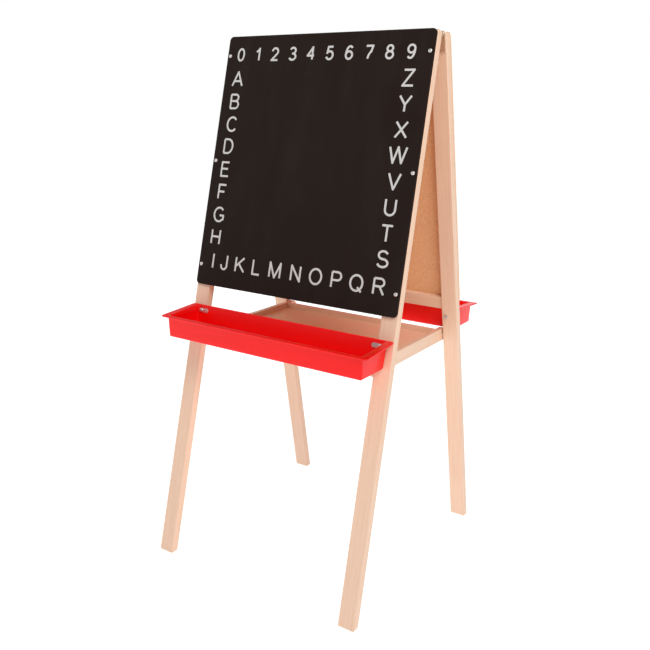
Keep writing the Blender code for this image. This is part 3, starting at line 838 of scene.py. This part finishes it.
# Heights, stroke and places of the printed characters on the board.
CAP = 0.0345
DIGIT_HEIGHT = 0.86 * CAP
STROKE = 0.0043
INK = 0.00012
SHARP_TURN = radians(28)
COLUMN_X = {"ABCDEFGH": -0.2112, "ZYXWVUTS": 0.2033}
COLUMN_DROPS = (0.0937, 0.1432, 0.1930, 0.2415, 0.2920, 0.3415, 0.3915, 0.4405)
DIGIT_DROPS = (0.0408, 0.00028)
DIGIT_X = (-0.2112, 0.0458)
BOTTOM_DROP = 0.4928
BOTTOM_X = (-0.2087, -0.1779, -0.1342, -0.0905, -0.0422, 0.0099, 0.0586, 0.1073, 0.1531, 0.2028)


def corner_splits(path):
    """The path cut at its sharp corners, and those corners."""
    runs, corners, run = [], [], [path[0]]
    for before, at, after in zip(path, path[1:], path[2:]):
        run.append(at)
        first, second = Vector(at) - Vector(before), Vector(after) - Vector(at)
        if min(first.length, second.length) > 1e-9 and first.angle(second) > SHARP_TURN:
            runs.append(run)
            corners.append(at)
            run = [at]
    runs.append(run + [path[-1]])
    return runs, corners


def ribbon(run, half, closed):
    """Left and right edges of a stroke of even width."""
    points = [Vector(p) for p in run]
    sides = []
    count = len(points) - (1 if closed else 0)
    for i in range(count):
        before = points[i - 1 if i or not closed else count - 1] if i or closed else points[i]
        after = points[(i + 1) % count] if closed else points[min(i + 1, count - 1)]
        along = (after - before).normalized()
        sides.append((points[i], Vector((-along.y, along.x)) * half))
    return [p + s for p, s in sides], [p - s for p, s in sides]


def stroke_mesh(name, letters):
    """The strokes of (character, x, drop, height) letters as thin closed ink, merged where they cross."""
    bands, dots = bmesh.new(), bmesh.new()
    for character, x, drop, height in letters:
        strokes = GLYPHS[character]
        wide = max(px for stroke in strokes for px, _ in stroke)
        size = height - STROKE
        for stroke in strokes:
            path = [(x + (px - wide / 2) * size, -drop + (py - 0.5) * size) for px, py in stroke]
            closed = hypot(path[0][0] - path[-1][0], path[0][1] - path[-1][1]) < 1e-6
            runs, corners = ([path], []) if closed else corner_splits(path)
            for run in runs:
                left, right = ribbon(run, STROKE / 2, closed)
                band(bands, left, right, closed)
            for corner in corners:
                disc(dots, corner, STROKE / 2)
    return merged(name, bands, dots)


def band(shape, left, right, closed):
    """A stroke's thin closed solid between its two edges; a closed stroke has no ends."""
    low = [[shape.verts.new((-p.x, 0, p.y)) for p in edge] for edge in (left, right)]
    high = [[shape.verts.new((-p.x, INK, p.y)) for p in edge] for edge in (left, right)]
    count = len(left)
    for i in range(count if closed else count - 1):
        j = (i + 1) % count
        shape.faces.new((high[0][i], high[0][j], high[1][j], high[1][i]))
        shape.faces.new((low[0][i], low[1][i], low[1][j], low[0][j]))
        shape.faces.new((low[0][i], low[0][j], high[0][j], high[0][i]))
        shape.faces.new((low[1][j], low[1][i], high[1][i], high[1][j]))
    if not closed:
        for i in (0, count - 1):
            shape.faces.new((low[0][i], high[0][i], high[1][i], low[1][i]))


def disc(shape, centre, radius, steps=16):
    """A round dot of ink that fills a stroke's sharp corner."""
    angles = [2 * pi * i / steps for i in range(steps)]
    outline = [(-(centre[0] + radius * cos(a)), centre[1] + radius * sin(a)) for a in angles]
    rings = [[shape.verts.new((x, y, z)) for x, z in outline] for y in (0, INK)]
    for i in range(steps):
        j = (i + 1) % steps
        shape.faces.new((rings[0][i], rings[0][j], rings[1][j], rings[1][i]))
    shape.faces.new(rings[0])
    shape.faces.new(rings[1])


def merged(name, *shapes):
    """One mesh from shapes of closed thin solids, united where they cross."""
    objects = []
    for shape in shapes:
        bmesh.ops.recalc_face_normals(shape, faces=shape.faces)
        mesh = bpy.data.meshes.new(name)
        shape.to_mesh(mesh)
        shape.free()
        obj = bpy.data.objects.new(name, mesh)
        bpy.context.scene.collection.objects.link(obj)
        objects.append(obj)
    made = objects[0].modifiers.new("unite", "BOOLEAN")
    made.operation = "UNION"
    made.solver = "EXACT"
    made.use_self = True
    made.object = objects[1]
    bpy.context.view_layer.update()
    graph = bpy.context.evaluated_depsgraph_get()
    mesh = bpy.data.meshes.new_from_object(objects[0].evaluated_get(graph))
    for obj in objects:
        bpy.data.objects.remove(obj)
    return mesh


def lettering():
    """Digits along the top, and the alphabet down the left, along the foot and up the right."""
    (x, step), (drop, fall) = DIGIT_X, DIGIT_DROPS
    letters = [(str(i), x + step * i, drop + fall * i, DIGIT_HEIGHT) for i in range(10)]
    for column, x in COLUMN_X.items():
        letters += [(character, x, drop, CAP) for character, drop in zip(column, COLUMN_DROPS)]
    letters += [(character, x, BOTTOM_DROP, CAP) for character, x in zip("IJKLMNOPQR", BOTTOM_X)]
    place = PLACES["front"] @ Matrix.Translation((0, OUTER_FACE + GAP + BOARD_THICK, 0))
    mesh = stroke_mesh("lettering", letters)
    piece("front_lettering", mesh, LOOKS["ink"], "front_frame", place, "chalkboard")


# ---------------------------------------------------------------- the easel


def dress_plain_nodes():
    """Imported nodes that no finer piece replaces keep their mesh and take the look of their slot."""
    slots = {entry["node"]: entry["material_slot"] for entry in frame["record"]["subparts"]}
    for name, node in frame["nodes"].items():
        look = LOOKS.get(slots.get(name))
        if look and not node.hide_render:
            node.data.materials.clear()
            node.data.materials.append(look)


for side in SIDES:
    for which in PLACES:
        leg(which, side)
board("front", "chalkboard")
board("rear", "whiteboard")
cross_bar()
shelf()
board_screw = wood_screw("board_screw", 0.0006, 0.0018, 0.018, 0.003, (0.0040, 0.0006, 0.0023))
hinge_screw = wood_screw("hinge_screw", 0.0005, 0.0015, 0.013, 0.0025, (0.0032, 0.0003, 0.0016))
for which in PLACES:
    tray(which)
    board_screws(which, board_screw)
    tray_bolts(which)
for side in SIDES:
    hinge(side, hinge_screw)
lettering()
dress_plain_nodes()


# ---------------------------------------------------------------- floor, light and camera

# The camera's place and aim were solved from the photograph; the shift keeps its framing of the easel.
CAMERA_PLACE = (0.8858, -1.3913, 0.9492)
CAMERA_FORWARD = Vector((-0.5307, 0.8266, -0.1874)).normalized()
CAMERA_ROLL = 0.0235
CAMERA_LENS = 42.64
CAMERA_SHIFT = -0.0954
LIGHT_TARGET = Vector((0, 0, 0.6))


def floor():
    """A pale floor that glows enough to reach the white of the background."""
    mesh = bpy.data.meshes.new("floor")
    shape = bmesh.new()
    bmesh.ops.create_grid(shape, x_segments=1, y_segments=1, size=30)
    shape.to_mesh(mesh)
    shape.free()
    obj = bpy.data.objects.new("floor", mesh)
    bpy.context.scene.collection.objects.link(obj)
    look = Look("floor_white")
    mesh.materials.append(look.set(Base_Color=(0.45, 0.45, 0.45), Roughness=1.0, Specular_IOR_Level=0.0,
                                   Emission_Color=(1.0, 1.0, 1.0), Emission_Strength=0.86))


def studio():
    """White paper to the camera, and a dimmer room above the floor for the light and reflections."""
    world = bpy.data.worlds.new("studio")
    world.use_nodes = True
    nodes, links = world.node_tree.nodes, world.node_tree.links
    paper = nodes["Background"]
    paper.inputs["Color"].default_value = (1.0, 1.0, 1.0, 1.0)
    room = nodes.new("ShaderNodeBackground")
    room.inputs["Color"].default_value = (0.96, 0.98, 1.0, 1.0)
    room.inputs["Strength"].default_value = 0.34
    seen = nodes.new("ShaderNodeLightPath")
    either = nodes.new("ShaderNodeMixShader")
    links.new(seen.outputs["Is Camera Ray"], either.inputs[0])
    links.new(room.outputs[0], either.inputs[1])
    links.new(paper.outputs[0], either.inputs[2])
    links.new(either.outputs[0], nodes["World Output"].inputs["Surface"])
    bpy.context.scene.world = world


def area_light(name, spot, size, power, colour=(1, 1, 1)):
    """A soft box aimed at the middle of the easel."""
    data = bpy.data.lights.new(name, "AREA")
    data.shape = "RECTANGLE"
    data.size, data.size_y = size
    data.energy = power
    data.color = colour
    obj = bpy.data.objects.new(name, data)
    bpy.context.scene.collection.objects.link(obj)
    obj.location = spot
    obj.rotation_euler = (LIGHT_TARGET - Vector(spot)).to_track_quat("-Z", "Y").to_euler()


def camera():
    data = bpy.data.cameras.new("photo_view")
    data.sensor_width = 36.0
    data.lens = CAMERA_LENS
    data.shift_y = CAMERA_SHIFT
    obj = bpy.data.objects.new("photo_view", data)
    bpy.context.scene.collection.objects.link(obj)
    level = CAMERA_FORWARD.cross(Vector((0, 0, 1))).normalized()
    above = level.cross(CAMERA_FORWARD)
    right = level * cos(CAMERA_ROLL) + above * sin(CAMERA_ROLL)
    up = above * cos(CAMERA_ROLL) - level * sin(CAMERA_ROLL)
    turn = Matrix((right, up, -CAMERA_FORWARD)).transposed().to_4x4()
    obj.matrix_world = Matrix.Translation(CAMERA_PLACE) @ turn
    bpy.context.scene.camera = obj


floor()
studio()
bpy.context.scene.view_settings.view_transform = "Standard"
area_light("key_soft_box", (1.9, -1.5, 2.9), (1.5, 1.5), 58, (1.0, 0.99, 0.97))
area_light("fill_soft_box", (-2.4, -1.2, 1.8), (2.0, 1.6), 12)
area_light("back_soft_box", (-0.9, 2.8, 2.2), (2.0, 1.6), 45)
camera()
